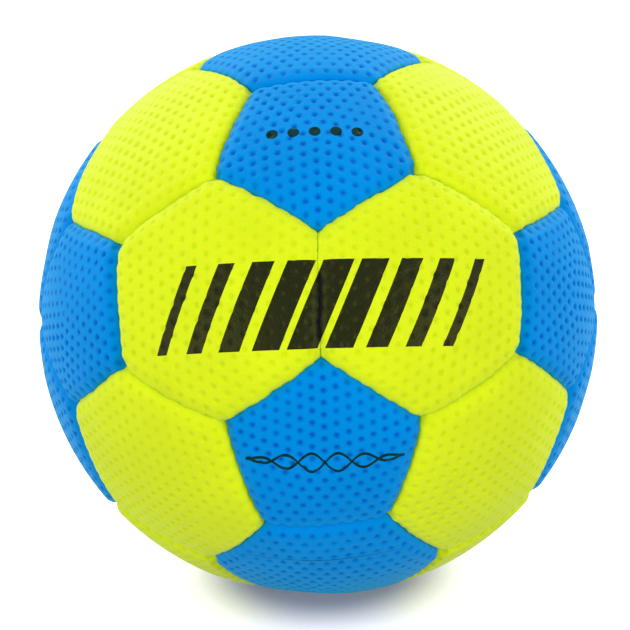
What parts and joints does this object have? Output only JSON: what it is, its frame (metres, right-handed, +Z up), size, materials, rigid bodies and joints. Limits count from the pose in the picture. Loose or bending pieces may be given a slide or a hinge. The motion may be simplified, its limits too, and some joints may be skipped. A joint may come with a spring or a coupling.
{
  "type": "handball",
  "caption": "Stitched, dimpled indoor handball of blue and yellow panels over an air bladder with a needle valve.",
  "frame": {"origin": "the ball's centre", "axes": "+Z up through the middle of a six-sided panel, with the ball standing on the opposite one; -Y is the front, and the valve is in the five-sided panel at the back, 10.8 degrees above +Y"},
  "size_m": [0.1878, 0.1878, 0.1878],
  "materials": {
    "blue_cover": "matt dimpled polyurethane on foam, sky blue",
    "yellow_cover": "matt dimpled polyurethane on foam, fluorescent yellow",
    "lining": "woven polyester and cotton",
    "thread": "waxed polyester",
    "bladder": "latex",
    "valve_rubber": "moulded rubber",
    "plug": "soft self-sealing rubber"
  },
  "bodies": {
    "root": {"pentagon_front_lower": "blue_cover", "pentagon_left_front": "blue_cover", "pentagon_bottom_left": "yellow_cover", "hexagon_front_left": "yellow_cover", "hexagon_bottom_front": "blue_cover", "hexagon_left_lower": "blue_cover", "hexagon_front_lower_left": "yellow_cover", "hexagon_back_lower_left": "yellow_cover", "pentagon_front_upper": "blue_cover", "pentagon_left_back": "blue_cover", "pentagon_top_left": "yellow_cover", "hexagon_back_left": "yellow_cover", "hexagon_top_front": "blue_cover", "hexagon_left_upper": "blue_cover", "hexagon_front_upper_left": "yellow_cover", "hexagon_back_upper_left": "yellow_cover", "pentagon_back_lower": "blue_cover", "pentagon_right_front": "blue_cover", "pentagon_bottom_right": "yellow_cover", "hexagon_front_right": "yellow_cover", "hexagon_bottom_back": "blue_cover", "hexagon_right_lower": "blue_cover", "hexagon_front_lower_right": "yellow_cover", "hexagon_back_lower_right": "yellow_cover", "pentagon_back_upper": "blue_cover", "pentagon_right_back": "blue_cover", "pentagon_top_right": "yellow_cover", "hexagon_back_right": "yellow_cover", "hexagon_top_back": "blue_cover", "hexagon_right_upper": "blue_cover", "hexagon_front_upper_right": "yellow_cover", "hexagon_back_upper_right": "yellow_cover", "hexagon_linings": "lining", "pentagon_linings": "lining", "hexagon_seam_threads": "thread", "pentagon_seam_threads": "thread", "bladder": "bladder", "balance_patch": "bladder", "valve_patch": "valve_rubber", "valve_body": "valve_rubber", "valve_plug": "plug"}
  },
  "joints": []
}
